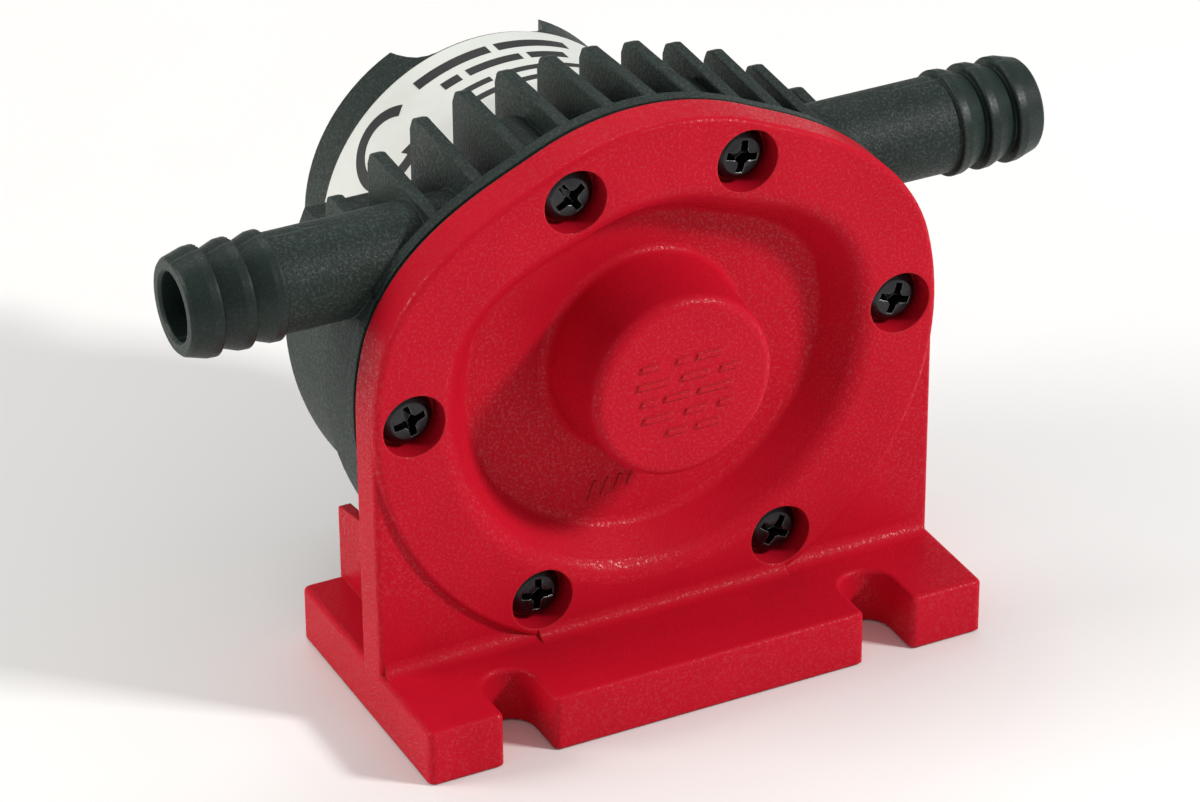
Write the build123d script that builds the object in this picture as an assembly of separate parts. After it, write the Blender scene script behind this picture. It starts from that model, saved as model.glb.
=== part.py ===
from build123d import *
import math
import os

# ---------------------------------------------------------------------------
# Drill-driven self-priming vane pump (bilge / transfer pump).
# Frame: X along the hose barbs, Y along the drive shaft (front cover at y = 0,
# drive shaft end towards +Y), Z up.  Origin: underside of the base, in line
# with the shaft, under the front face of the cover.
# ---------------------------------------------------------------------------

os.makedirs("parts", exist_ok=True)

# ---- driving dimensions (mm) ----------------------------------------------
AX = 48.6             # height of the shaft axis above the base underside
R_COVER = 45.0        # outer radius of cover disc and housing flange
D_COVER = 6.3         # how much lower the flattened top (the cam) of the outline lies
TH0, TH1 = 14.0, 66.0  # polar angles between which the outline falls to the cam top

T_PLATE = 6.6         # cover plate thickness
WEB_STEP = 0.95       # corner webs lie this far behind the disc face
BASE_H = 8.6          # base height
BASE_Y0, BASE_Y1 = -15.7, 28.9
SLOT_X = 29.2         # mounting slots: centre, width, depth
SLOT_W = 8.0
SLOT_D = 10.6

R_DISH, D_DISH = 33.3, 6.9      # dish rim
R_FLOOR, D_FLOOR = 28.4, 6.1    # dish floor
Y_DISH = 6.6                    # dish depth
BOSS_R0, BOSS_R1, BOSS_Y = 14.2, 15.5, -7.1

SCREW_POS = [(13.5, 29.75), (-13.5, 29.75), (38.9, 0.5), (-38.9, 0.5),
             (19.5, -33.7), (-19.5, -33.7)]      # x, height over the axis
CBORE_R, CBORE_D = 4.85, 4.5
HEAD_R, HEAD_H = 4.15, 3.0
SHANK_R, SHANK_L = 1.95, 15.5

T_GASKET = 0.8
Y_FLANGE = T_PLATE + T_GASKET   # front face of the housing
R_CH, D_CH = 32.5, 8.1          # pumping chamber and its cam
Y_SPIGOT = 9.6                  # back of the cover's spigot
Y_CH1 = 21.6                    # rear wall of the chamber
Y_WALL = 24.2                   # back of that wall
WALL = 2.8
R_BODY, Y_BODY = 42.6, 37.9     # lower body
Z_BODY = 17.7                   # flat top of the lower body, over the axis
R_FL2, Y_FL2 = 44.8, 18.5       # thick lower part of the flange
R_DRUM, R_DRUM_IN, Y_DRUM = 27.2, 24.5, 65.3
R_HUB, Y_HUB = 14.0, 55.5

PORT_Y, PORT_Z = 15.9, 19.1     # hose barb axis (height over the shaft axis)
PORT_TIP = 67.9
PORT_BORE = 5.05                # hose end of the bore, to the step
PORT_STEP, PORT_THROAT = 48.0, 4.3
TUBE_R = 7.35
BARB_R = 8.05

FIN_PITCH, FIN_T = 6.75, 1.9                      # twelve fins, half a pitch off centre
FIN_TOPS = [37.5, 36.8, 35.1, 32.4, 28.4, 23.1]   # over the axis, at the rear
FIN_Y0, FIN_Y1 = 8.4, 31.3

SHAFT_R, SHAFT_Y0, SHAFT_Y1 = 4.0, -3.0, 92.0
SLINGER_SEAT = 3.6              # neck of the shaft that holds the slinger ring
IMP_Y0, IMP_Y1 = 10.5, 20.7
N_VANES = 8
SEAL_Y0, SEAL_Y1 = 25.6, 32.6
BRG_Y0, BRG_Y1 = 45.5, 52.5
BRG_R = 11.0


# ---- helpers ----------------------------------------------------------------
def at_y(y):
    """Drawing plane facing -Y at the given y: sketch x is X, sketch y is Z."""
    return Plane.XZ.offset(-y)


def prism(sk, y0, y1):
    return extrude(at_y(y0) * sk, amount=-(y1 - y0))


def disc(r, x=0.0, z=0.0):
    return Pos(x, AX + z) * Circle(r)


def cyl(r, y0, y1, x=0.0, z=0.0):
    return prism(disc(r, x, z), y0, y1)


def ring(r_out, r_in, y0, y1, x=0.0, z=0.0):
    return cyl(r_out, y0, y1, x, z) - cyl(r_in, y0 - 0.5, y1 + 0.5, x, z)


def smooth(t):
    t = max(0.0, min(1.0, t))
    return t * t * (3 - 2 * t)


def cam_r(R, D, deg):
    """Radius of the cam outline at a polar angle (0..180 is the upper half)."""
    a = deg if deg <= 90 else 180 - deg
    return R - D * smooth((a - TH0) / (TH1 - TH0))


def polar(r, deg):
    return (r * math.cos(math.radians(deg)), AX + r * math.sin(math.radians(deg)))


def cam(R, D):
    """Face: circle of radius R whose top is flattened by D."""
    n = 9
    degs = [TH0 + (TH1 - TH0) * i / (n - 1) for i in range(n)]
    right = [polar(cam_r(R, D, d), d) for d in degs]
    left = [(-x, z) for x, z in reversed(right)]

    def tan(d):
        return (-math.sin(math.radians(d)), math.cos(math.radians(d)))
    e1 = Spline(*right, tangents=[tan(TH0), tan(TH1)])
    e2 = CenterArc((0, AX), R - D, TH1, 180 - 2 * TH1)
    e3 = Spline(*left, tangents=[tan(180 - TH1), tan(180 - TH0)])
    e4 = CenterArc((0, AX), R, 180 - TH0, 180 + 2 * TH0)
    return make_face([e1, e2, e3, e4])


def turned(pts, x=0.0, z=0.0):
    """Solid of revolution about a line parallel to Y; pts are (radius, y)."""
    face = make_face(Polyline(*[(r, y) for r, y in pts], close=True))
    body = revolve(face, axis=Axis((0, 0, 0), (0, 1, 0)))
    return Pos(x, 0, AX + z) * body


def save(node, shape, label=None):
    shape.label = label or node
    export_step(shape, "parts/%s.step" % node)


def group(items):
    return Compound(children=list(items))


# ---------------------------------------------------------------------------
# front_cover: disc with dish and bearing boss, moulded in one with the base
# ---------------------------------------------------------------------------
disc_part = prism(cam(R_COVER, D_COVER), 0, T_PLATE)
front_edges = disc_part.edges().filter_by(lambda e: abs(e.center().Y) < 0.01)
disc_part = fillet(front_edges, 0.9)

skirt = prism(Pos(0, AX / 2) * Rectangle(2 * R_COVER, AX), WEB_STEP, T_PLATE)
skirt = fillet(skirt.edges().filter_by(
    lambda e: abs(e.center().Y - WEB_STEP) < 0.01 and abs(abs(e.center().X) - R_COVER) < 0.01), 0.7)

base = Pos(0, (BASE_Y0 + BASE_Y1) / 2, BASE_H / 2) * Box(2 * R_COVER, BASE_Y1 - BASE_Y0, BASE_H)
for sx in (1, -1):
    slot = Pos(sx * SLOT_X, BASE_Y0 + (SLOT_D - SLOT_W / 2) / 2 - 0.5, BASE_H / 2) * \
        Box(SLOT_W, SLOT_D - SLOT_W / 2 + 1.0, BASE_H + 2)
    slot += Pos(sx * SLOT_X, BASE_Y0 + SLOT_D - SLOT_W / 2, BASE_H / 2) * \
        Cylinder(SLOT_W / 2, BASE_H + 2)
    base -= slot
vert = base.edges().filter_by(Axis.Z).filter_by(
    lambda e: abs(e.center().Y - BASE_Y0) < 0.01 or abs(e.center().Y - BASE_Y1) < 0.01)
base = fillet(vert, 1.0)
top = base.edges().filter_by(lambda e: abs(e.center().Z - BASE_H) < 0.01 and abs(
    e.bounding_box().max.Z - BASE_H) < 0.01)
base = fillet(top, 0.8)
# mould core-outs under the front of the base
for cx, w in ((-14.2, 12.0), (0, 12.0), (14.2, 12.0), (-39.2, 7.0), (39.2, 7.0)):
    pocket = Pos(cx, -7.9, 2.4) * Box(w, 11.0, 5.2)
    pocket = fillet(pocket.edges().filter_by(Axis.Z), 1.2)
    base -= pocket

# side gussets between the disc and the rear of the base
gussets = []
for sx in (1, -1):
    pts = [(5.0, 6.0), (5.0, 24.9), (BASE_Y1 - 0.4, 20.7), (BASE_Y1, 20.3), (BASE_Y1, 6.0)]
    f = make_face(Polyline(*pts, close=True))
    f = Plane(origin=(sx * 37.2 - 1.5, 0, 0), x_dir=(0, 1, 0), z_dir=(1, 0, 0)) * f
    g = extrude(f, amount=3.0)
    wedge = make_face(Polyline((sx * 38.35, 26.5), (sx * 35.4, 26.5), (sx * 35.4, 14.5), close=True))
    g -= extrude(Plane(origin=(0, 4.0, 0), x_dir=(1, 0, 0), z_dir=(0, -1, 0)) * wedge, amount=-26.0)
    gussets.append(g)



def cove(x1, y0, r):
    """Hollow quarter-round strip along X between the plate and the top of the base."""
    z0 = BASE_H
    c = r * (1 - math.sqrt(0.5))
    f = make_face([Line((y0 - r, z0), (y0 - r, z0 - 0.6)), Line((y0 - r, z0 - 0.6), (y0 + 0.6, z0 - 0.6)),
                   Line((y0 + 0.6, z0 - 0.6), (y0 + 0.6, z0 + r)), Line((y0 + 0.6, z0 + r), (y0, z0 + r)),
                   ThreePointArc((y0, z0 + r), (y0 - c, z0 + c), (y0 - r, z0))])
    f = Plane(origin=(-x1, 0, 0), x_dir=(0, 1, 0), z_dir=(1, 0, 0)) * f
    return extrude(f, amount=2 * x1)


cover = disc_part + skirt + base
cover += cove(R_COVER - 0.78, WEB_STEP, 2.2)
cover += cove(20.2, 0.0, 2.0)
for g in gussets:
    cover += g
# cradle for the housing in the rear of the base and behind the skirt
cover -= cyl(R_FL2 + 0.5, T_PLATE, Y_FL2 + 0.5)
cover -= cyl(R_BODY + 0.5, Y_FL2, BASE_Y1 + 5)

# spigot that centres the cover in the chamber
cover += prism(cam(R_CH - 0.15, D_CH), T_PLATE - 0.5, Y_SPIGOT)

# dish
dish = loft([at_y(-0.02) * cam(R_DISH, D_DISH), at_y(Y_DISH) * cam(R_FLOOR, D_FLOOR)], ruled=True)
floor_edges = dish.edges().filter_by(lambda e: abs(e.center().Y - Y_DISH) < 0.01)
dish = fillet(floor_edges, 1.8)
cover -= dish
rim = cover.edges().filter_by(
    lambda e: abs(e.center().Y) < 0.02 and abs(e.bounding_box().max.Y) < 0.02
    and max(abs(v.X) for v in e.vertices()) < R_DISH + 1.0
    and max(abs(v.Z - AX) for v in e.vertices()) < R_DISH + 1.0)
cover = fillet(rim, 4.0)

# bearing boss in the dish
boss = turned([(0, BOSS_Y), (BOSS_R0, BOSS_Y), (BOSS_R1, Y_DISH + 1.5), (0, Y_DISH + 1.5)])
boss = fillet(boss.edges().filter_by(lambda e: abs(e.center().Y - BOSS_Y) < 0.01), 1.8)
cover += boss
root = cover.edges().filter_by(
    lambda e: abs(e.center().Y - Y_DISH) < 0.05 and abs(e.radius - BOSS_R1) < 0.4
    if e.geom_type == GeomType.CIRCLE else False)
if len(root):
    cover = fillet(root, 1.4)

# raised plain dashes on the boss face and four slanted strokes in the dish
rows = [(5.2, [(-6.6, 3.4), (-1.6, 2.2), (2.6, 4.2)]),
        (2.4, [(-6.2, 5.4), (0.4, 4.6), (5.8, 3.0)]),
        (-0.4, [(-6.8, 3.0), (-2.4, 4.4), (3.6, 5.6)]),
        (-3.2, [(-5.6, 4.8), (0.6, 3.8), (5.2, 2.4)]),
        (-6.0, [(-2.6, 3.4), (2.4, 4.0)])]
for dz, bars in rows:
    for bx, bl in bars:
        bar = Pos(1.2 + bx, AX - 0.4 + dz) * SlotOverall(bl, 0.75)
        cover += prism(bar, BOSS_Y - 0.35, BOSS_Y + 0.3)

for k in range(4):
    stroke = Pos(-8.2 + 2.1 * k, AX - 22.0 + 0.25 * k) * Rot(0, 0, 68) * SlotOverall(3.4 - 0.3 * k, 0.6)
    cover += prism(stroke, Y_DISH - 0.3, Y_DISH + 0.3)

# screw seats and clearance holes, blind seat for the front bush
for x, z in SCREW_POS:
    cover -= cyl(CBORE_R, -1, CBORE_D, x, z)
    cover -= cyl(2.25, 0, T_PLATE + 1, x, z)
cover -= cyl(6.0, -4.0, Y_SPIGOT + 1)
save("front_cover", cover)
print("cover solids", len(cover.solids()), cover.is_valid)

# ---------------------------------------------------------------------------
# pump_housing: flange, chamber, ports, fins, drum with bearing hub
# ---------------------------------------------------------------------------
half = Pos(0, AX + Z_BODY - 60) * Rectangle(140, 120)      # everything below the flat top
housing = prism(cam(R_COVER, D_COVER), Y_FLANGE, Y_FLANGE + 2.3)
housing = fillet(housing.edges().filter_by(lambda e: abs(e.center().Y - Y_FLANGE - 2.3) < 0.01), 0.5)
thick = prism(disc(R_FL2) & half, Y_FLANGE, Y_FL2)
thick = fillet(thick.edges().filter_by(lambda e: abs(e.center().Y - Y_FL2) < 0.01), 0.7)
body = prism(disc(R_BODY) & half, Y_FLANGE, Y_BODY)
body = fillet(body.edges().filter_by(lambda e: abs(e.center().Y - Y_BODY) < 0.01), 1.2)
housing = housing + thick + body

# annular core between skin and chamber wall, open to the rear, with ribs
inner_half = Pos(0, AX + Z_BODY - 2.6 - 60) * Rectangle(140, 120)
ribs = Pos(0, AX) * Rot(0, 0, 15) * Pos(36, 0) * Rectangle(24, 2.0)
for a in range(45, 360, 30):
    ribs += Pos(0, AX) * Rot(0, 0, a) * Pos(36, 0) * Rectangle(24, 2.0)
core = (disc(R_BODY - 2.6) & inner_half) - cam(R_CH + WALL, D_CH) - ribs
for x, z in SCREW_POS:
    core -= disc(4.3, x, z)
housing -= prism(core, 12.0, Y_WALL + 0.1)
core = (disc(R_BODY - 2.6) & inner_half) - disc(R_DRUM - 0.5) - ribs
housing -= prism(core, Y_WALL, Y_BODY + 1)

# chamber wall and rear drum
housing += prism(cam(R_CH + WALL, D_CH), Y_FLANGE, Y_WALL - 1.3)
housing += prism(cam(R_CH + WALL, D_CH) & inner_half, Y_CH1 - 2, Y_WALL)
drum = cyl(R_DRUM, 15, Y_DRUM)
drum = fillet(drum.edges().filter_by(lambda e: abs(e.center().Y - Y_DRUM) < 0.01), 0.6)
housing += drum

# screw bosses behind the flange, under the fins
for x, z in SCREW_POS[:2]:
    housing += cyl(3.7, Y_FLANGE, 21.7, x, z)

# hose barbs, one each side
for sx in (1, -1):
    tip, tr, br = PORT_TIP, TUBE_R, BARB_R
    prof = [(13.3, 0), (13.3, tr), (tip - 14.2, tr), (tip - 14.2, br), (tip - 12.7, br - 0.08),
            (tip - 9.5, tr - 0.6), (tip - 9.5, br), (tip - 8.0, br - 0.08), (tip - 4.7, tr - 0.6),
            (tip - 4.7, br), (tip - 3.2, br - 0.08), (tip - 0.4, 7.15), (tip, 6.75), (tip, 0)]
    f = make_face(Polyline(*[(sx * x, r) for x, r in prof], close=True))
    tube = revolve(f, axis=Axis((0, 0, 0), (1, 0, 0)))
    edges = tube.edges().filter_by(lambda e: abs(e.center().X - sx * (tip - 14.2)) < 0.01 or
                                   abs(e.center().X - sx * (tip - 9.5)) < 0.01 or
                                   abs(e.center().X - sx * (tip - 4.7)) < 0.01)
    edges = edges.filter_by(lambda e: e.geom_type == GeomType.CIRCLE and abs(e.radius - br) < 0.02)
    tube = fillet(edges, 0.3)
    housing += Pos(0, PORT_Y, AX + PORT_Z) * tube

# cooling fins across the top
def outline_z(x):
    """Height of the flange outline over the axis at a given x."""
    best = 0.0
    for d in range(0, 901):
        a = d / 10.0
        r = cam_r(R_COVER, D_COVER, a)
        if r * math.cos(math.radians(a)) >= abs(x):
            best = r * math.sin(math.radians(a))
    return best


for i in range(6):
    for sx in (1, -1):
        fx = sx * (i + 0.5) * FIN_PITCH
        topz = AX + FIN_TOPS[i]
        frontz = AX + outline_z(abs(fx) + FIN_T / 2) - 0.15
        pts = [(FIN_Y0, AX + Z_BODY - 1.0), (FIN_Y0, frontz), (FIN_Y1 - 2.6, topz),
               (FIN_Y1 - 0.9, topz - 0.75), (FIN_Y1, topz - 2.6), (FIN_Y1, AX + Z_BODY - 1.0)]
        f = make_face(Polyline(*pts, close=True))
        f = Plane(origin=(fx - FIN_T / 2, 0, 0), x_dir=(0, 1, 0), z_dir=(1, 0, 0)) * f
        fin = extrude(f, amount=FIN_T)
        corners = fin.edges().filter_by(Axis.X).filter_by(
            lambda e: e.center().Z > topz - 3.0 and e.center().Y > FIN_Y0 + 1)
        fin = fillet(corners, 0.9)
        fin = fillet(fin.edges().filter_by(
            lambda e: e.center().Z > topz - 3.2 and abs(e.center().X - fx) > 0.5 * FIN_T - 0.01
            and e.center().Y > FIN_Y0 + 1), 0.35)
        housing += fin

# hollow inside
housing -= prism(cam(R_CH, D_CH), Y_FLANGE - 1, Y_CH1)
housing -= cyl(R_DRUM_IN, Y_WALL, Y_DRUM + 1)
hub = cyl(R_HUB, Y_WALL - 0.5, Y_HUB)
hub = fillet(hub.edges().filter_by(lambda e: abs(e.center().Y - Y_HUB) < 0.01), 0.6)
housing += hub
for a in (45, 135, 225, 315):
    housing += prism(Pos(0, AX) * Rot(0, 0, a) * Pos(19.0, 0) * Rectangle(11.6, 2.2), Y_WALL - 0.5, 50.0)
housing -= cyl(4.6, Y_CH1 - 1, SEAL_Y0 + 1)
housing -= cyl(BRG_R, SEAL_Y0, Y_HUB + 1)
housing -= cyl(BRG_R + 0.65, 52.55, 53.7)

# port bores, screw holes, notch in the rear rim
for sx in (1, -1):
    f = make_face(Polyline(*[(sx * x, r) for x, r in (
        (17.0, 0), (17.0, PORT_THROAT), (PORT_STEP, PORT_THROAT), (PORT_STEP, PORT_BORE),
        (PORT_TIP - 0.4, PORT_BORE), (PORT_TIP + 0.1, PORT_BORE + 0.5), (PORT_TIP + 1, PORT_BORE + 0.5),
        (PORT_TIP + 1, 0))], close=True))
    housing -= Pos(0, PORT_Y, AX + PORT_Z) * revolve(f, axis=Axis((0, 0, 0), (1, 0, 0)))
for x, z in SCREW_POS:
    housing -= cyl(2.0, Y_FLANGE - 0.5, 20.6, x, z)
notch = make_face(Polyline((-7.6, 58.3), (7.6, 58.3), (9.0, 58.7), (10.3, 59.8), (11.2, 61.4), (11.9, 63.3),
                           (12.4, 65.3), (12.6, 66.4), (-12.6, 66.4), (-12.4, 65.3), (-11.9, 63.3), (-11.2, 61.4),
                           (-10.3, 59.8), (-9.0, 58.7), close=True))
housing -= Pos(0, 0, AX + 10) * extrude(notch, amount=25)
save("pump_housing", housing)
print("housing solids", len(housing.solids()), housing.is_valid)

# ---------------------------------------------------------------------------
# static pieces
# ---------------------------------------------------------------------------
gasket = prism(cam(R_COVER - 0.35, D_COVER), T_PLATE, Y_FLANGE) - prism(cam(R_CH, D_CH), T_PLATE - 1, Y_FLANGE + 1)
for x, z in SCREW_POS:
    gasket -= cyl(2.3, 5, 9, x, z)
save("cover_gasket", gasket)

# pan head cross-recess screws
screws = []
for k, (x, z) in enumerate(SCREW_POS):
    y0 = CBORE_D - HEAD_H
    pts = [(0, y0), (1.7, y0 + 0.06), (2.85, y0 + 0.3), (3.62, y0 + 0.78), (4.03, y0 + 1.45),
           (HEAD_R, y0 + 2.0), (HEAD_R, CBORE_D), (SHANK_R, CBORE_D)]
    y = CBORE_D + 1.2
    while y < CBORE_D + SHANK_L - 2.6:
        pts += [(SHANK_R - 0.42, y), (SHANK_R, y + 0.62), (SHANK_R, y + 0.76)]
        y += 1.3
    pts += [(SHANK_R - 0.5, CBORE_D + SHANK_L - 1.4), (0.35, CBORE_D + SHANK_L), (0, CBORE_D + SHANK_L)]
    s = turned(pts)
    cross = Rectangle(5.2, 1.3) + Rectangle(1.3, 5.2) + Rot(0, 0, 45) * Rectangle(2.4, 2.4)
    rec = extrude(at_y(y0 - 0.2) * (Pos(0, AX) * cross), amount=-2.1, taper=14)
    s -= rec
    turn = (12, 55, 20, 74, 33, 5)[k]
    s = Pos(0, 0, AX) * (Rot(0, turn, 0) * (Pos(0, 0, -AX) * s))
    screws.append(Pos(x, 0, z) * s)
save("cover_screws", group(screws))

save("front_bush", ring(6.0, SHAFT_R + 0.05, -3.6, 9.5))
save("front_wear_plate", prism(cam(R_CH - 0.25, D_CH), Y_SPIGOT, Y_SPIGOT + 0.6) - cyl(4.6, 8, 12))
save("rear_wear_plate", prism(cam(R_CH - 0.1, D_CH), Y_CH1 - 0.6, Y_CH1) - cyl(4.6, 18, 24))

S0 = SEAL_Y0
save("shaft_seal_case", turned([(11.0, S0), (11.0, S0 + 7.0), (6.8, S0 + 7.0), (6.8, S0 + 6.2),
                                (10.2, S0 + 6.2), (10.2, S0)]))
save("shaft_seal_lip", turned([(10.2, S0 + 6.2), (6.3, S0 + 6.2), (4.75, S0 + 2.8), (4.06, S0 + 2.0),
                               (4.06, S0 + 1.7), (4.6, S0 + 1.1), (6.1, S0 + 0.9), (6.25, S0 + 2.9),
                               (7.4, S0 + 5.1), (10.2, S0 + 5.1)]))
wire = Pos(6.66, S0 + 1.9) * Circle(0.42)
save("seal_garter_spring", Pos(0, 0, AX) * revolve(wire, axis=Axis((0, 0, 0), (0, 1, 0))))

save("bearing_spacer", ring(BRG_R - 0.02, 9.6, SEAL_Y1, BRG_Y0))

# deep-groove ball bearing 8 x 22 x 7
BY = (BRG_Y0 + BRG_Y1) / 2
PITCH_R, BALL_R, RACE_R = 7.5, 1.93, 2.0
torus = Pos(0, BY, AX) * Rot(90, 0, 0) * Torus(PITCH_R, RACE_R)
outer = ring(BRG_R, 9.05, BRG_Y0, BRG_Y1)
outer = chamfer(outer.edges().filter_by(lambda e: e.geom_type == GeomType.CIRCLE and abs(e.radius - BRG_R) < 0.01), 0.35)
for ys in (BRG_Y0 + 0.15, BRG_Y1 - 0.65):
    outer -= ring(9.45, 9.0, ys, ys + 0.5)
outer -= torus
save("bearing_outer_ring", outer)
inner = ring(6.0, SHAFT_R + 0.0, BRG_Y0, BRG_Y1)
inner = chamfer(inner.edges().filter_by(lambda e: e.geom_type == GeomType.CIRCLE and abs(e.radius - 6.0) < 0.01), 0.2)
inner -= torus
save("bearing_inner_ring", inner)
shields = [ring(9.4, 6.3, BRG_Y0 + 0.2, BRG_Y0 + 0.5), ring(9.4, 6.3, BRG_Y1 - 0.5, BRG_Y1 - 0.2)]
save("bearing_shields", group(shields))
balls = []
cage = ring(8.5, 6.5, BY - 1.3, BY + 2.45)
for k in range(7):
    a = math.radians(90 + 360 / 7 * k)
    c = (PITCH_R * math.cos(a), BY, AX + PITCH_R * math.sin(a))
    balls.append(Pos(*c) * Rot(90, 0, 0) * Sphere(BALL_R))
    cage -= Pos(*c) * Rot(90, 0, 0) * Sphere(BALL_R + 0.09)
save("bearing_balls", group(balls))
save("bearing_cage", cage)


def circlip(r_out, r_in, y0, t, outward):
    """Open retaining ring with two drilled lugs; the gap is on the top side."""
    c = disc(r_out) - disc(r_in)
    c -= Pos(0, AX + (r_out + r_in) / 2) * Rectangle(3.0, (r_out - r_in) * 3)
    for sx in (1, -1):
        zz = r_in + 0.2 if outward else r_out - 0.2
        off = 1.0 if outward else -1.6
        lug = Pos(sx * 2.6, AX + zz + off) * Circle(1.25)
        c += lug
        c -= Pos(sx * 2.6, AX + zz + off) * Circle(0.6)
    return prism(c, y0, y0 + t)


save("housing_circlip", circlip(BRG_R + 0.55, BRG_R - 1.3, 52.6, 1.0, False))
save("front_circlip", circlip(5.5, SHAFT_R - 0.28, 44.62, 0.8, True))
save("rear_circlip", circlip(5.5, SHAFT_R - 0.28, 52.58, 0.8, True))

# adhesive rating label round the top of the drum
lab = ring(R_DRUM + 0.2, R_DRUM, 32.0, 57.8)
lab -= Pos(0, 40, AX + 5.6 - 40) * Box(80, 60, 80)
lab -= Pos(0, 28.35, AX + Z_BODY + 0.4 - 40) * Box(80, 20, 80)
save("rating_label", lab)
print("label solids", len(lab.solids()))

# ---------------------------------------------------------------------------
# rotor
# ---------------------------------------------------------------------------
shaft = cyl(SHAFT_R, SHAFT_Y0, SHAFT_Y1)
shaft = chamfer(shaft.edges().filter_by(lambda e: e.geom_type == GeomType.CIRCLE), 0.6)
for y in (44.57, 52.53):
    shaft -= ring(SHAFT_R + 1, SHAFT_R - 0.3, y, y + 0.9)
shaft -= ring(SHAFT_R + 1, SLINGER_SEAT, 55.9, 59.0)
pin_plane = Plane(origin=(0, (IMP_Y0 + IMP_Y1) / 2, AX), x_dir=(1, 0, 0), z_dir=(0, 0, 1))
pin_hole = extrude(pin_plane * Circle(1.25), amount=7.5, both=True)
shaft -= pin_hole
save("drive_shaft", shaft)
pin = extrude(pin_plane * Circle(1.22), amount=6.3, both=True)
pin = chamfer(pin.edges().filter_by(lambda e: e.geom_type == GeomType.CIRCLE), 0.25)
save("drive_pin", pin)

insert = ring(6.5, SHAFT_R + 0.02, IMP_Y0 + 0.4, IMP_Y1 - 0.7)
for k in range(12):
    a = math.radians(15 + 30 * k)
    insert -= cyl(0.55, IMP_Y0 + 1.8, IMP_Y1 - 2.0, 6.6 * math.cos(a), 6.6 * math.sin(a))
insert -= pin_hole
save("impeller_insert", insert)

TIP_R = 1.75
VANE_LEN = 20.9


def centre_line(alpha, delta, rc, n=10):
    out = []
    for i in range(n + 1):
        t = i / n
        r = 9.0 + (rc - 9.0) * t
        a = math.radians(alpha - delta * t ** 1.7)
        out.append((r * math.cos(a), r * math.sin(a)))
    return out


def path_len(p):
    return sum(math.dist(p[i], p[i + 1]) for i in range(len(p) - 1))


rubber = disc(9.6)
for k in range(N_VANES):
    alpha = 10.0 + 360.0 / N_VANES * k
    lo, hi = 0.0, 95.0
    for _ in range(40):
        mid = (lo + hi) / 2
        tip_deg = (alpha - mid) % 360
        rc = (cam_r(R_CH, D_CH, tip_deg) if tip_deg < 180 else R_CH) - 0.45 - TIP_R
        if path_len(centre_line(alpha, mid, rc)) > VANE_LEN + 0.6:
            hi = mid
        else:
            lo = mid
    pts = centre_line(alpha, mid, rc)
    left, right = [], []
    for i, p in enumerate(pts):
        q0, q1 = pts[max(i - 1, 0)], pts[min(i + 1, len(pts) - 1)]
        dx, dz = q1[0] - q0[0], q1[1] - q0[1]
        L = math.hypot(dx, dz)
        w = 1.55 - 0.5 * i / (len(pts) - 1)
        left.append((p[0] - dz / L * w, AX + p[1] + dx / L * w))
        right.append((p[0] + dz / L * w, AX + p[1] - dx / L * w))
    f = make_face([Spline(*left), Line(left[-1], right[-1]), Spline(*reversed(right)), Line(right[0], left[0])])
    rubber += f
    rubber += Pos(pts[-1][0], AX + pts[-1][1]) * Circle(TIP_R)
rubber -= disc(6.5)
vanes = prism(rubber, IMP_Y0, IMP_Y1)
save("impeller_vanes", vanes)
print("vanes solids", len(vanes.solids()), vanes.is_valid)

save("thrust_washer", ring(6.2, SHAFT_R + 0.04, IMP_Y1 - 0.7, IMP_Y1))
slinger = turned([(SLINGER_SEAT, 56.1), (9.4, 56.1), (9.4, 56.7), (6.0, 57.3), (6.0, 58.6), (SLINGER_SEAT, 58.6)])
save("slinger_ring", slinger)

for n, s in (("cover", cover), ("housing", housing), ("shaft", shaft), ("vanes", vanes), ("label", lab)):
    bb = s.bounding_box()
    print(n, round(s.volume), [round(v, 1) for v in (bb.min.X, bb.min.Y, bb.min.Z, bb.max.X, bb.max.Y, bb.max.Z)])
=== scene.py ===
import math

import bpy
import bmesh
import numpy as np
from mathutils import Matrix, Vector


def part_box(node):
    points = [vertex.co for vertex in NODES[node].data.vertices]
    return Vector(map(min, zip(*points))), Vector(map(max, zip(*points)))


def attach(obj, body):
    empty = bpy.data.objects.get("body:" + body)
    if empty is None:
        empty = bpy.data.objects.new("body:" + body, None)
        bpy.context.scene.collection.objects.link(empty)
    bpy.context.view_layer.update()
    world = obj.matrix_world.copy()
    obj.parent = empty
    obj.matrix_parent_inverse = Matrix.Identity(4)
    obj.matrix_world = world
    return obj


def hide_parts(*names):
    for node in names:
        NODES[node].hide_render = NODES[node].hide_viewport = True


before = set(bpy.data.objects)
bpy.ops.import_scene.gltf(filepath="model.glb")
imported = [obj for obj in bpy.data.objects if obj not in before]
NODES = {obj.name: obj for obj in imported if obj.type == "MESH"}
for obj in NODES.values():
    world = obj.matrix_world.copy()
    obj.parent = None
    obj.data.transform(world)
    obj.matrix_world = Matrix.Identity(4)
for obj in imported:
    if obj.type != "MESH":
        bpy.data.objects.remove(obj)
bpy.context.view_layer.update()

SCENE = bpy.context.scene
AX = 0.0486                      # shaft axis height


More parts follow.
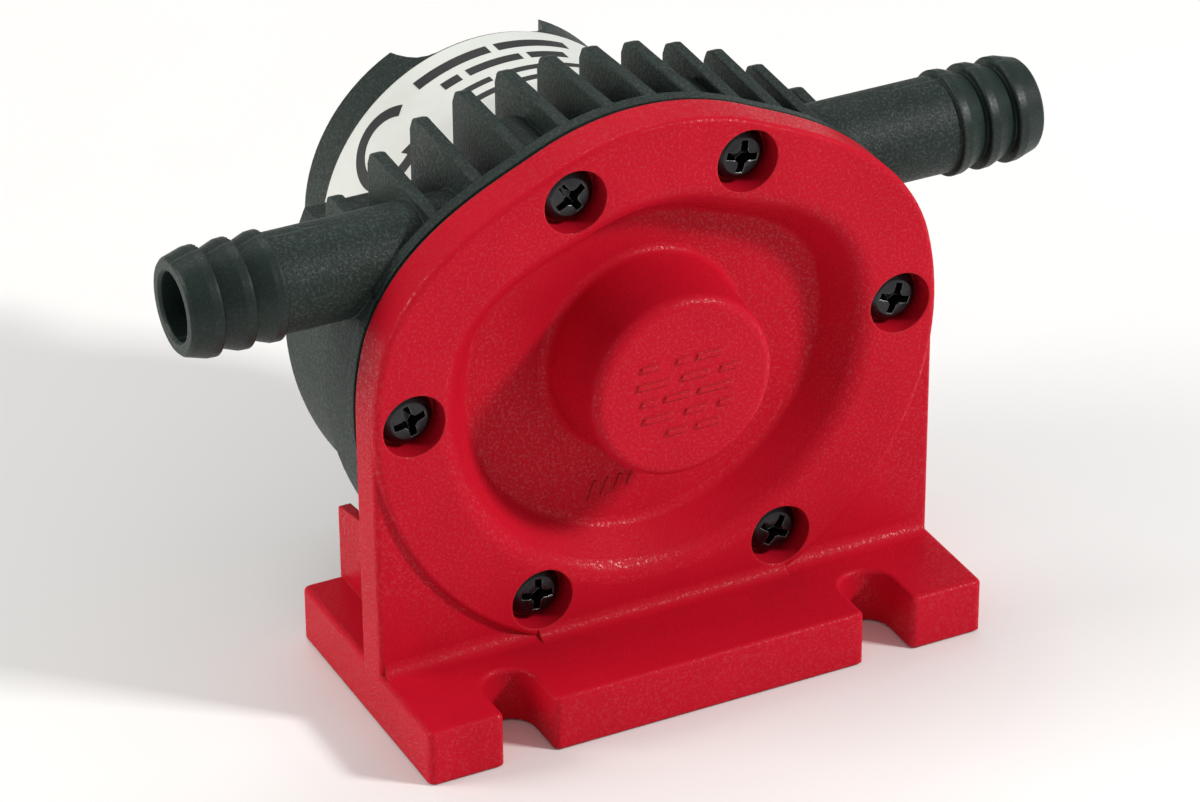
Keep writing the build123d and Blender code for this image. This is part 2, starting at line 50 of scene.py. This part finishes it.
# --------------------------------------------------------------------------
# small node helpers
# --------------------------------------------------------------------------
class Mat:
    def __init__(self, name):
        self.m = bpy.data.materials.new(name)
        self.m.use_nodes = True
        self.t = self.m.node_tree
        self.t.nodes.clear()
        self.out = self.t.nodes.new("ShaderNodeOutputMaterial")
        self.b = self.t.nodes.new("ShaderNodeBsdfPrincipled")
        self.t.links.new(self.b.outputs[0], self.out.inputs["Surface"])
        self.co = self.t.nodes.new("ShaderNodeTexCoord").outputs["Object"]

    def n(self, kind, **kw):
        node = self.t.nodes.new("ShaderNode" + kind)
        for k, v in kw.items():
            setattr(node, k, v)
        return node

    def link(self, a, b):
        self.t.links.new(a, b)

    def set(self, **kw):
        for k, v in kw.items():
            self.b.inputs[k.replace("_", " ")].default_value = v

    def noise(self, scale, detail=2.0, rough=0.5, vec=None, stretch=None, dist=0.0):
        v = vec or self.co
        if stretch:
            mp = self.n("Mapping")
            mp.inputs["Scale"].default_value = stretch
            self.link(v, mp.inputs["Vector"])
            v = mp.outputs[0]
        t = self.n("TexNoise")
        t.inputs["Scale"].default_value = scale
        t.inputs["Detail"].default_value = detail
        t.inputs["Roughness"].default_value = rough
        t.inputs["Distortion"].default_value = dist
        self.link(v, t.inputs["Vector"])
        return t.outputs["Fac"]

    def voronoi(self, scale, rand=1.0, feature="F1", stretch=None):
        v = self.co
        if stretch:
            mp = self.n("Mapping")
            mp.inputs["Scale"].default_value = stretch
            self.link(v, mp.inputs["Vector"])
            v = mp.outputs[0]
        t = self.n("TexVoronoi", feature=feature)
        t.inputs["Scale"].default_value = scale
        t.inputs["Randomness"].default_value = rand
        self.link(v, t.inputs["Vector"])
        return t.outputs["Distance"]

    def ramp(self, fac, stops, interp="LINEAR"):
        r = self.n("ValToRGB")
        r.color_ramp.interpolation = interp
        els = r.color_ramp.elements
        while len(els) < len(stops):
            els.new(0.5)
        for e, (p, c) in zip(els, stops):
            e.position = p
            e.color = (c, c, c, 1) if isinstance(c, (int, float)) else (*c, 1)
        self.link(fac, r.inputs["Fac"])
        return r.outputs["Color"]

    def remap(self, fac, a, b, c, d):
        r = self.n("MapRange")
        for k, v in zip(("From Min", "From Max", "To Min", "To Max"), (a, b, c, d)):
            r.inputs[k].default_value = v
        self.link(fac, r.inputs["Value"])
        return r.outputs["Result"]

    def math(self, op, a, b=None, clamp=False):
        m = self.n("Math", operation=op, use_clamp=clamp)
        for i, v in enumerate((a, b)):
            if v is None:
                continue
            if isinstance(v, (int, float)):
                m.inputs[i].default_value = v
            else:
                self.link(v, m.inputs[i])
        return m.outputs[0]

    def mix(self, fac, a, b, kind="MIX"):
        m = self.n("Mix", data_type="RGBA", blend_type=kind)
        if isinstance(fac, (int, float)):
            m.inputs["Factor"].default_value = fac
        else:
            self.link(fac, m.inputs["Factor"])
        for key, v in (("A", a), ("B", b)):
            sock = [s for s in m.inputs if s.name == key and s.type == "RGBA"][0]
            if isinstance(v, tuple):
                sock.default_value = (*v, 1)
            else:
                self.link(v, sock)
        return [s for s in m.outputs if s.type == "RGBA"][0]

    def xyz(self):
        s = self.n("SeparateXYZ")
        self.link(self.co, s.inputs[0])
        return s.outputs

    def edges(self, radius, gain=4.0):
        """0 on flats, towards 1 along sharp edges."""
        bev = self.n("Bevel", samples=4)
        bev.inputs["Radius"].default_value = radius
        geo = self.n("NewGeometry")
        d = self.n("VectorMath", operation="DOT_PRODUCT")
        self.link(bev.outputs[0], d.inputs[0])
        self.link(geo.outputs["Normal"], d.inputs[1])
        return self.math("MULTIPLY", self.math("SUBTRACT", 1.0, d.outputs["Value"]), gain, clamp=True), bev.outputs[0]

    def bump(self, height, dist, strength=1.0, normal=None):
        b = self.n("Bump")
        b.inputs["Strength"].default_value = strength
        b.inputs["Distance"].default_value = dist
        self.link(height, b.inputs["Height"])
        if normal is not None:
            self.link(normal, b.inputs["Normal"])
        return b.outputs[0]

    def to(self, name, v):
        self.link(v, self.b.inputs[name])


def srgb(r, g, b):
    def f(c):
        c /= 255.0
        return c / 12.92 if c <= 0.04045 else ((c + 0.055) / 1.055) ** 2.4
    return (f(r), f(g), f(b))


# --------------------------------------------------------------------------
# materials
# --------------------------------------------------------------------------
def red_plastic():
    m = Mat("red_moulded_plastic")
    edge_highlight, rounded = m.edges(0.00040, 3.0)
    large = m.noise(45, 3, 0.55)
    flow = m.noise(160, 4, 0.6, stretch=(1.0, 1.0, 0.35))
    grain = m.noise(2500, 3.0, 0.65)
    fine = m.noise(6000, 2.0, 0.6)
    pits = m.voronoi(1500)
    c = m.mix(m.remap(large, 0.3, 0.7, 0.0, 1.0), srgb(184, 16, 36), srgb(194, 20, 42))
    c = m.mix(m.remap(flow, 0.35, 0.75, 0.0, 0.20), c, srgb(164, 15, 34))
    # painted highlight: rounded edges lightened towards orange
    c = m.mix(m.math("MULTIPLY", edge_highlight, 0.30), c, srgb(226, 84, 74))
    # painted glints: bright specks along the painted edge highlight
    edge_glints = m.ramp(m.noise(900, 4, 0.75), [(0.0, 0.0), (0.66, 0.0), (0.72, 1.0)])
    c = m.mix(m.math("MULTIPLY", m.math("MULTIPLY", edge_highlight, edge_glints), 0.75), c, srgb(240, 150, 130))
    dust = m.ramp(m.noise(2600, 2.0, 0.6), [(0.0, 0.0), (0.76, 0.0), (0.80, 1.0)])
    c = m.mix(m.math("MULTIPLY", dust, 0.22), c, srgb(226, 120, 110))
    m.to("Base Color", c)
    r = m.remap(grain, 0.3, 0.7, 0.38, 0.48)
    r = m.math("ADD", r, m.remap(flow, 0.35, 0.75, -0.02, 0.04))
    h = m.math("ADD", m.math("MULTIPLY", grain, 0.75), m.math("MULTIPLY", fine, 0.3))
    h = m.math("SUBTRACT", h, m.ramp(pits, [(0.0, 0.25), (0.12, 0.0)]))
    m.to("Normal", m.bump(h, 0.00010, 0.55, rounded))
    spark = m.ramp(m.noise(2400, 2.0, 0.6), [(0.0, 0.0), (0.53, 0.0), (0.60, 1.0)])
    m.to("Specular IOR Level", m.remap(spark, 0.0, 1.0, 0.06, 0.26))
    m.to("Roughness", m.math("SUBTRACT", r, m.math("MULTIPLY", spark, 0.20)))
    m.set(IOR=1.45)
    m.b.inputs["Subsurface Weight"].default_value = 0.03
    m.b.inputs["Subsurface Radius"].default_value = (1.0, 0.15, 0.1)
    m.b.inputs["Subsurface Scale"].default_value = 0.0010
    return m.m


def black_plastic():
    m = Mat("black_grained_plastic")
    edge_highlight, rounded = m.edges(0.0004, 3.0)
    x, y, z = m.xyz()[0], m.xyz()[1], m.xyz()[2]
    ax = m.math("ABSOLUTE", x)
    smooth = m.remap(ax, 0.0532, 0.0546, 0.0, 1.0)       # hose ridges are polished in the mould
    rough_side = m.math("SUBTRACT", 1.0, m.math("MULTIPLY", smooth, 0.70))
    grain = m.noise(2300, 3.0, 0.66)
    coarse = m.noise(950, 2.0, 0.55)
    fine = m.noise(5200, 2.0, 0.6)
    large = m.noise(60, 3, 0.55)
    base = m.mix(m.remap(large, 0.3, 0.7, 0, 1), srgb(20, 32, 28), srgb(28, 42, 37))
    peaks = m.ramp(grain, [(0.0, 0.0), (0.50, 0.0), (0.64, 1.0)])
    base = m.mix(m.math("MULTIPLY", m.math("MULTIPLY", peaks, rough_side), 0.42), base, srgb(72, 92, 86))
    pits = m.ramp(fine, [(0.0, 1.0), (0.38, 1.0), (0.47, 0.0)])
    base = m.mix(m.math("MULTIPLY", m.math("MULTIPLY", pits, rough_side), 0.6), base, srgb(10, 14, 14))
    # painted highlight: edges lightened towards grey-green
    base = m.mix(m.math("MULTIPLY", edge_highlight, 0.30), base, srgb(96, 108, 98))
    # faint mould parting line along the hose tubes
    tube = m.remap(ax, 0.044, 0.047, 0.0, 1.0)
    off = m.math("ABSOLUTE", m.math("SUBTRACT", y, 0.0159))
    line = m.math("MULTIPLY", m.math("LESS_THAN", off, 0.00012), tube)
    base = m.mix(m.math("MULTIPLY", line, 0.35), base, srgb(88, 98, 94))
    m.to("Base Color", base)
    m.to("Roughness", m.math("SUBTRACT", m.remap(grain, 0.3, 0.7, 0.58, 0.40), m.math("MULTIPLY", smooth, 0.06)))
    h = m.math("ADD", m.math("MULTIPLY", grain, 0.6), m.math("MULTIPLY", coarse, 0.4))
    h = m.math("MULTIPLY", m.math("ADD", h, m.math("MULTIPLY", fine, 0.25)), rough_side)
    m.to("Normal", m.bump(h, 0.00022, 0.80, rounded))
    m.set(IOR=1.45, Specular_IOR_Level=0.30)
    return m.m


def rubber(name, col, col2, rough=0.72, scale=2600):
    m = Mat(name)
    a = m.noise(scale, 3, 0.6)
    b = m.noise(220, 4, 0.6)
    dust = m.ramp(m.noise(700, 5, 0.7), [(0.0, 0.0), (0.58, 0.0), (0.80, 1.0)])
    c = m.mix(m.remap(b, 0.3, 0.7, 0, 1), srgb(*col), srgb(*col2))
    c = m.mix(m.math("MULTIPLY", dust, 0.18), c, srgb(120, 118, 112))
    m.to("Base Color", c)
    m.to("Roughness", m.remap(a, 0.3, 0.7, rough - 0.08, rough + 0.1))
    m.to("Normal", m.bump(m.math("ADD", a, m.math("MULTIPLY", b, 0.5)), 0.00003, 0.6))
    m.set(IOR=1.48)
    return m.m


def metal(name, col, col2, rough, brushed=None, turned=None, edge_col=None, scale=1400, bump=0.000012):
    m = Mat(name)
    a = m.noise(scale, 4, 0.6)
    b = m.noise(120, 4, 0.6)
    c = m.mix(m.remap(b, 0.3, 0.7, 0, 1), srgb(*col), srgb(*col2))
    h = a
    r = m.remap(a, 0.3, 0.7, rough - 0.06, rough + 0.08)
    if brushed:
        s = m.noise(700, 3, 0.7, stretch=brushed)
        c = m.mix(m.remap(s, 0.35, 0.65, 0, 0.28), c, srgb(*[int(v * 0.72) for v in col]))
        r = m.math("ADD", r, m.remap(s, 0.35, 0.65, -0.05, 0.07))
        h = s
    if turned:
        # rings about the shaft axis: position along Y only, gently broken up
        s = m.noise(900, 3, 0.7, stretch=(0.05, 6.0, 0.05))
        c = m.mix(m.remap(s, 0.35, 0.65, 0, 0.25), c, srgb(*[int(v * 0.75) for v in col]))
        r = m.math("ADD", r, m.remap(s, 0.35, 0.65, -0.04, 0.08))
        h = s
    if edge_col:
        e, rounded = m.edges(0.00018, 5.0)
        c = m.mix(m.math("MULTIPLY", e, 0.7), c, srgb(*edge_col))
        m.to("Normal", m.bump(h, bump, 0.7, rounded))
    else:
        m.to("Normal", m.bump(h, bump, 0.7))
    m.to("Base Color", c)
    m.to("Roughness", r)
    m.set(Metallic=1.0)
    return m.m


def label_film():
    m = Mat("label_white_film")
    a = m.noise(3000, 2, 0.5)
    b = m.noise(90, 4, 0.6)
    c = m.mix(m.remap(b, 0.3, 0.7, 0, 1), srgb(214, 218, 212), srgb(222, 226, 221))
    e, rounded = m.edges(0.00035, 3.0)
    c = m.mix(m.math("MULTIPLY", e, 0.5), c, srgb(190, 190, 180))
    m.to("Base Color", c)
    m.to("Roughness", m.remap(a, 0.3, 0.7, 0.32, 0.44))
    m.to("Normal", m.bump(m.math("ADD", a, m.math("MULTIPLY", b, 2.0)), 0.000012, 0.6, rounded))
    m.set(IOR=1.46)
    return m.m


def print_ink():
    m = Mat("label_black_ink")
    a = m.noise(2600, 3, 0.6)
    worn = m.ramp(m.noise(1500, 4, 0.7), [(0.0, 0.0), (0.66, 0.0), (0.78, 1.0)])
    c = m.mix(m.remap(a, 0.3, 0.7, 0, 1), srgb(20, 21, 22), srgb(34, 35, 36))
    c = m.mix(m.math("MULTIPLY", worn, 0.22), c, srgb(90, 90, 88))
    m.to("Base Color", c)
    m.to("Roughness", m.remap(a, 0.3, 0.7, 0.40, 0.55))
    m.to("Normal", m.bump(a, 0.000008, 0.5))
    return m.m


def nylon(name, col, col2):
    m = Mat(name)
    a = m.noise(1800, 3, 0.6)
    b = m.noise(150, 4, 0.6)
    m.to("Base Color", m.mix(m.remap(b, 0.3, 0.7, 0, 1), srgb(*col), srgb(*col2)))
    m.to("Roughness", m.remap(a, 0.3, 0.7, 0.38, 0.52))
    m.to("Normal", m.bump(a, 0.00002, 0.5))
    m.b.inputs["Subsurface Weight"].default_value = 0.15
    m.b.inputs["Subsurface Radius"].default_value = (1.0, 0.9, 0.7)
    m.b.inputs["Subsurface Scale"].default_value = 0.001
    return m.m


M = {
    "red": red_plastic(),
    "black": black_plastic(),
    "gasket": rubber("gasket_sheet_rubber", (14, 15, 16), (22, 23, 24), 0.8),
    "nbr": rubber("seal_nitrile", (38, 26, 22), (50, 34, 28), 0.55),
    "vane": rubber("impeller_rubber", (24, 25, 27), (36, 37, 39), 0.62, 1800),
    "screw": metal("blackened_steel", (48, 48, 50), (64, 64, 66), 0.33, edge_col=(150, 150, 150)),
    "bronze": metal("sintered_bronze", (176, 132, 84), (196, 150, 98), 0.42, scale=3200, bump=0.00004),
    "stainless": metal("brushed_stainless", (196, 196, 194), (212, 212, 210), 0.28, brushed=(8.0, 1.0, 0.15)),
    "phosphate": metal("phosphated_steel", (88, 92, 96), (108, 112, 115), 0.5, scale=2600, bump=0.00002),
    "spring": metal("spring_steel", (120, 120, 124), (146, 146, 150), 0.34),
    "bearing": metal("bearing_steel", (205, 207, 210), (220, 221, 224), 0.13, turned=True, edge_col=(240, 240, 240)),
    "shield": metal("zinc_plated_shield", (178, 180, 176), (196, 198, 192), 0.36, turned=True),
    "shaft": metal("ground_shaft_steel", (188, 190, 194), (206, 207, 210), 0.24, turned=True, edge_col=(235, 235, 238)),
    "brass": metal("turned_brass", (206, 168, 96), (220, 184, 112), 0.27, turned=True, edge_col=(240, 214, 150)),
    "film": label_film(),
    "ink": print_ink(),
    "cage": nylon("cage_nylon", (206, 198, 170), (218, 210, 184)),
    "acetal": nylon("acetal_white", (222, 220, 212), (232, 230, 224)),
}

CAD_MATERIALS = {
    "front_cover": "red", "pump_housing": "black", "cover_gasket": "gasket", "cover_screws": "screw",
    "front_bush": "bronze", "front_wear_plate": "stainless", "rear_wear_plate": "stainless",
    "shaft_seal_case": "phosphate", "shaft_seal_lip": "nbr", "seal_garter_spring": "spring",
    "bearing_spacer": "acetal", "bearing_outer_ring": "bearing", "bearing_shields": "shield",
    "housing_circlip": "spring", "rating_label": "film", "drive_shaft": "shaft", "drive_pin": "bearing",
    "impeller_insert": "brass", "impeller_vanes": "vane", "bearing_inner_ring": "bearing",
    "front_circlip": "spring", "rear_circlip": "spring", "thrust_washer": "bronze",
    "slinger_ring": "gasket", "bearing_balls": "bearing", "bearing_cage": "cage",
}
for node, key in CAD_MATERIALS.items():
    o = NODES[node]
    if not o.data.materials:
        o.data.materials.append(M[key])
    for i in range(len(o.data.materials)):
        o.data.materials[i] = M[key]


def add_mesh(name, verts, faces, mat, smooth=True):
    me = bpy.data.meshes.new(name)
    me.from_pydata([tuple(v) for v in verts], [], faces)
    me.validate()
    me.update()
    bm = bmesh.new()
    bm.from_mesh(me)
    bmesh.ops.recalc_face_normals(bm, faces=bm.faces)
    bm.to_mesh(me)
    bm.free()
    ob = bpy.data.objects.new(name, me)
    SCENE.collection.objects.link(ob)
    me.materials.append(mat)
    if smooth:
        for p in me.polygons:
            p.use_smooth = True
    return ob


# --------------------------------------------------------------------------
# label print: plain marks laid on the film, following the drum
# --------------------------------------------------------------------------
R_PRINT = 0.02740 + 0.00002


def on_drum(u, v, lift=0.0):
    """u: arc length from the top towards +X, v: position along Y (both m)."""
    a = u / R_PRINT
    r = R_PRINT + lift
    return (r * math.sin(a), v, AX + r * math.cos(a))


def ink_strip(path, width, verts, faces, closed_ends=True):
    """A stroke of given width along path [(u, v)...], 0.04 mm thick."""
    n = len(path)
    base = len(verts)
    T = 0.00004
    for i, (u, v) in enumerate(path):
        u0, v0 = path[max(i - 1, 0)]
        u1, v1 = path[min(i + 1, n - 1)]
        du, dv = u1 - u0, v1 - v0
        L = math.hypot(du, dv) or 1e-9
        w = width(i / (n - 1)) if callable(width) else width
        ou, ov = -dv / L * w / 2, du / L * w / 2
        verts.append(on_drum(u + ou, v + ov, 0))
        verts.append(on_drum(u - ou, v - ov, 0))
        verts.append(on_drum(u + ou * 0.94, v + ov * 0.94, T))
        verts.append(on_drum(u - ou * 0.94, v - ov * 0.94, T))
    for i in range(n - 1):
        a, b = base + 4 * i, base + 4 * (i + 1)
        faces.append((a + 2, b + 2, b + 3, a + 3))
        faces.append((a, b, b + 2, a + 2))
        faces.append((a + 1, a + 3, b + 3, b + 1))
        faces.append((a, a + 1, b + 1, b))
    for a in (base, base + 4 * (n - 1)):
        faces.append((a, a + 2, a + 3, a + 1))


pv, pf = [], []
# turning arrow on the left flank
cu, cv, cr = -0.0232, 0.0480, 0.0062
arc = [(cu + cr * math.cos(t), cv + cr * math.sin(t)) for t in np.linspace(math.radians(35), math.radians(290), 40)]
ink_strip(arc, 0.0021, pv, pf)
end, tang = arc[-1], math.radians(290 + 90)
head = [(end[0] + s * math.cos(tang), end[1] + s * math.sin(tang)) for s in np.linspace(-0.0006, 0.0038, 10)]
ink_strip(head, lambda t: 0.0050 * (1 - t) + 0.0003, pv, pf)
# rows of plain blocks across the top
rows = [(0.0534, 0.0023, [(-0.0078, 0.0124), (0.0056, 0.0118)]),
        (0.0492, 0.0020, [(-0.0098, 0.0030), (-0.0026, 0.0088), (0.0062, 0.0062)]),
        (0.0452, 0.0014, [(-0.0078, 0.0056), (-0.0004, 0.0070), (0.0076, 0.0064)]),
        (0.0420, 0.0014, [(-0.0062, 0.0072), (0.0030, 0.0088)])]
for v, wd, bars in rows:
    for u, ln in bars:
        pts = [(u - ln / 2 + ln * t, v) for t in np.linspace(0, 1, 12)]
        ink_strip(pts, wd, pv, pf)
label_print = add_mesh("label_print", pv, pf, M["ink"], smooth=False)
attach(label_print, "pump_body")

# --------------------------------------------------------------------------
# garter spring: a real coil round the seal lip
# --------------------------------------------------------------------------
gl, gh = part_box("seal_garter_spring")
g_major = (gh.x - gl.x) / 2 - 0.00042
g_y = (gl.y + gh.y) / 2


def coil_ring(name, major, minor, wire, turns, y, mat, seg=16, sides=6):
    verts, faces = [], []
    n = turns * seg
    pts = []
    for i in range(n):
        A = 2 * math.pi * i / n
        B = 2 * math.pi * i / seg
        r = major + minor * math.cos(B)
        pts.append(Vector((r * math.cos(A), y + minor * math.sin(B), AX + r * math.sin(A))))
    for i in range(n):
        t = (pts[(i + 1) % n] - pts[i - 1]).normalized()
        c = Vector((pts[i].x, 0, pts[i].z - AX)).normalized()
        s = t.cross(c).normalized()
        c = s.cross(t).normalized()
        for k in range(sides):
            w = 2 * math.pi * k / sides
            verts.append(pts[i] + c * wire * math.cos(w) + s * wire * math.sin(w))
    for i in range(n):
        j = (i + 1) % n
        for k in range(sides):
            l = (k + 1) % sides
            faces.append((i * sides + k, j * sides + k, j * sides + l, i * sides + l))
    return add_mesh(name, verts, faces, mat)


spring = coil_ring("garter_spring_coil", g_major, 0.00030, 0.00011, 84, g_y, M["spring"])
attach(spring, "pump_body")
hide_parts("seal_garter_spring")

# --------------------------------------------------------------------------
# rubber vanes: moulded shape with rounded long edges and a parting line
# --------------------------------------------------------------------------
R_CH, D_CH, TH0, TH1 = 32.5, 8.1, 14.0, 66.0


def cam_r(deg):
    a = deg if deg <= 90 else 180 - deg
    t = max(0.0, min(1.0, (a - TH0) / (TH1 - TH0)))
    return R_CH - D_CH * t * t * (3 - 2 * t)


def centre_line(alpha, delta, rc, n=10):
    out = []
    for i in range(n + 1):
        t = i / n
        r = 9.0 + (rc - 9.0) * t
        a = math.radians(alpha - delta * t ** 1.7)
        out.append((r * math.cos(a), r * math.sin(a)))
    return out


def path_len(p):
    return sum(math.dist(p[i], p[i + 1]) for i in range(len(p) - 1))


def catmull(pts, per=5):
    out = []
    P = [pts[0]] + list(pts) + [pts[-1]]
    for i in range(1, len(P) - 2):
        for k in range(per):
            t = k / per
            q = []
            for d in (0, 1):
                a, b, c, e = P[i - 1][d], P[i][d], P[i + 1][d], P[i + 2][d]
                q.append(0.5 * ((2 * b) + (-a + c) * t + (2 * a - 5 * b + 4 * c - e) * t * t
                                + (-a + 3 * b - 3 * c + e) * t ** 3))
            out.append(tuple(q))
    out.append(pts[-1])
    return out


vl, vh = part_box("impeller_vanes")
Y0, Y1 = vl.y * 1000, vh.y * 1000
TIP_R, N_V = 1.75, 8
loop = []
for k in range(N_V - 1, -1, -1):
    alpha = 10.0 + 360.0 / N_V * k
    lo, hi = 0.0, 95.0
    for _ in range(40):
        mid = (lo + hi) / 2
        tip = (alpha - mid) % 360
        rc = (cam_r(tip) if tip < 180 else R_CH) - 0.45 - TIP_R
        if path_len(centre_line(alpha, mid, rc)) > 21.5:
            hi = mid
        else:
            lo = mid
    c = catmull(centre_line(alpha, mid, rc), 4)
    left, right = [], []
    for i, p in enumerate(c):
        q0, q1 = c[max(i - 1, 0)], c[min(i + 1, len(c) - 1)]
        dx, dz = q1[0] - q0[0], q1[1] - q0[1]
        L = math.hypot(dx, dz)
        w = 1.55 - 0.5 * i / (len(c) - 1)
        w += 0.55 * math.exp(-((math.hypot(*p) - 9.4) / 0.9) ** 2)     # root fillet
        left.append((p[0] - dz / L * w, p[1] + dx / L * w))
        right.append((p[0] + dz / L * w, p[1] - dx / L * w))
    ex, ez = c[-1][0] - c[-2][0], c[-1][1] - c[-2][1]
    a0 = math.atan2(ez, ex)
    bulb = [(c[-1][0] + TIP_R * math.cos(a0 + s), c[-1][1] + TIP_R * math.sin(a0 + s))
            for s in np.linspace(2.35, -2.35, 18)]
    # clockwise loop round the hub: arrive on the left flank, leave on the right
    keep_l = [p for p in left if math.hypot(*p) > 9.75 and math.dist(p, c[-1]) > TIP_R * 1.08]
    keep_r = [p for p in right if math.hypot(*p) > 9.75 and math.dist(p, c[-1]) > TIP_R * 1.08]
    al = math.atan2(keep_l[0][1], keep_l[0][0])
    if loop:
        a_prev = math.atan2(loop[-1][1], loop[-1][0])
        d = (a_prev - al) % (2 * math.pi)
        for s in np.linspace(0, 1, 7)[1:-1]:
            loop.append((9.6 * math.cos(a_prev - d * s), 9.6 * math.sin(a_prev - d * s)))
    else:
        first = al
    loop += keep_l + bulb + list(reversed(keep_r))
a_prev = math.atan2(loop[-1][1], loop[-1][0])
d = (a_prev - first) % (2 * math.pi)
for s in np.linspace(0, 1, 7)[1:-1]:
    loop.append((9.6 * math.cos(a_prev - d * s), 9.6 * math.sin(a_prev - d * s)))

bm = bmesh.new()
mid_y = (Y0 + Y1) / 2
ys = [(Y0, -0.30), (Y0 + 0.12, -0.12), (Y0 + 0.35, 0.0), (Y0 + 2.2, 0.0), (mid_y - 0.25, 0.0), (mid_y, 0.07),
      (mid_y + 0.25, 0.0), (Y1 - 2.2, 0.0), (Y1 - 0.35, 0.0), (Y1 - 0.12, -0.12), (Y1, -0.30)]
n = len(loop)
norm = []
for i in range(n):
    q0, q1 = loop[i - 1], loop[(i + 1) % n]
    dx, dz = q1[0] - q0[0], q1[1] - q0[1]
    L = math.hypot(dx, dz) or 1
    norm.append((-dz / L, dx / L))
if sum(loop[i][0] * loop[(i + 1) % n][1] - loop[(i + 1) % n][0] * loop[i][1] for i in range(n)) > 0:
    norm = [(-a, -b) for a, b in norm]
rings = []
for y, off in ys:
    rings.append([bm.verts.new(((p[0] + m_[0] * off) / 1000, y / 1000, AX + (p[1] + m_[1] * off) / 1000))
                  for p, m_ in zip(loop, norm)])
inner = []
for y in (Y0, Y0 + 0.3, Y1 - 0.3, Y1):
    inner.append([bm.verts.new((6.5 * math.cos(t) / 1000, y / 1000, AX + 6.5 * math.sin(t) / 1000))
                  for t in [2 * math.pi * i / 96 for i in range(96)]])


def bridge(a, b):
    for i in range(len(a)):
        j = (i + 1) % len(a)
        bm.faces.new((a[i], a[j], b[j], b[i]))


for a, b in zip(rings, rings[1:]):
    bridge(a, b)
for a, b in zip(inner, inner[1:]):
    bridge(a, b)
bm.edges.ensure_lookup_table()
for outer_ring, inner_ring in ((rings[0], inner[0]), (rings[-1], inner[-1])):
    es = []
    for R in (outer_ring, inner_ring):
        for i in range(len(R)):
            es.append(bm.edges.get((R[i], R[(i + 1) % len(R)])))
    bmesh.ops.triangle_fill(bm, use_beauty=True, edges=es)
bmesh.ops.recalc_face_normals(bm, faces=bm.faces)
me = bpy.data.meshes.new("impeller_vanes_rubber")
bm.to_mesh(me)
bm.free()
me.materials.append(M["vane"])
for p in me.polygons:
    p.use_smooth = abs(p.normal.y) < 0.95
vanes = bpy.data.objects.new("impeller_vanes_rubber", me)
SCENE.collection.objects.link(vanes)
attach(vanes, "rotor")
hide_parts("impeller_vanes")

# --------------------------------------------------------------------------
# camera
# --------------------------------------------------------------------------
K = 45.0 / 47.5
F_PX, AZ, EL, ROLL, DIST, CX, CZ = 5061.0, -26.43, 28.57, -0.40, 0.77325, 2.71, -141.47
a, e, rr = math.radians(AZ), math.radians(EL), math.radians(ROLL)
back = Vector((math.sin(a) * math.cos(e), -math.cos(a) * math.cos(e), math.sin(e)))
right = Vector((math.cos(a), math.sin(a), 0))
up = right.cross(-back)
R2 = right * math.cos(rr) + up * math.sin(rr)
U2 = -right * math.sin(rr) + up * math.cos(rr)
eye = (Vector((0, 0.020, 0.060)) + back * DIST) * K
fwd = (-back + R2 * (-CX / F_PX) + U2 * (CZ / F_PX)).normalized()
U3 = (U2 - fwd * U2.dot(fwd)).normalized()
R3 = fwd.cross(U3).normalized()
cam_data = bpy.data.cameras.new("camera")
cam = bpy.data.objects.new("camera", cam_data)
SCENE.collection.objects.link(cam)
cam.matrix_world = Matrix((
    (R3.x, U3.x, -fwd.x, eye.x),
    (R3.y, U3.y, -fwd.y, eye.y),
    (R3.z, U3.z, -fwd.z, eye.z),
    (0, 0, 0, 1)))
cam_data.sensor_fit = "HORIZONTAL"
cam_data.sensor_width = 36.0
cam_data.lens = F_PX / 1200.0 * 36.0
cam_data.clip_start, cam_data.clip_end = 0.01, 50.0
SCENE.camera = cam

# --------------------------------------------------------------------------
# floor and light
# --------------------------------------------------------------------------
fm = Mat("pale_floor")
fn = fm.noise(6, 3, 0.5)
fm.to("Base Color", fm.mix(fm.remap(fn, 0.3, 0.7, 0, 1), (0.86, 0.86, 0.855), (0.89, 0.89, 0.885)))
fm.to("Roughness", fm.remap(fm.noise(40, 3, 0.5), 0.3, 0.7, 0.75, 0.85))
fm.set(Specular_IOR_Level=0.2)
floor = add_mesh("floor", [(-6, -6, -0.0003), (6, -6, -0.0003), (6, 6, -0.0003), (-6, 6, -0.0003)], [(0, 1, 2, 3)], fm.m, smooth=False)


def area(name, loc, target, size, power, color=(1, 1, 1)):
    d = bpy.data.lights.new(name, "AREA")
    d.shape = "RECTANGLE"
    d.size, d.size_y = size
    d.energy = power
    d.color = color
    o = bpy.data.objects.new(name, d)
    SCENE.collection.objects.link(o)
    o.location = loc
    o.rotation_euler = (Vector(target) - Vector(loc)).to_track_quat("-Z", "Y").to_euler()
    return o


T = (0, 0.01, 0.05)


def towards(v, dist):
    v = Vector(v).normalized() * dist
    return (T[0] + v.x, T[1] + v.y, T[2] + v.z)


area("key_right_front", towards((0.66, -0.58, 0.60), 1.2), T, (0.17, 0.17), 10.4, (1.0, 0.985, 0.965))
area("rim_left_back", towards((-0.90, 0.34, 0.42), 1.1), T, (0.45, 0.55), 7.0, (1.0, 0.95, 0.90))
area("top_back", towards((0.10, 0.55, 1.0), 1.2), T, (0.6, 0.5), 3.4)

world = bpy.data.worlds.new("world")
SCENE.world = world
world.use_nodes = True
bg = world.node_tree.nodes["Background"]
bg.inputs["Color"].default_value = (1, 1, 1, 1)
bg.inputs["Strength"].default_value = 0.38

SCENE.view_settings.view_transform = "Standard"
SCENE.view_settings.look = "None"
SCENE.view_settings.exposure = 0.0

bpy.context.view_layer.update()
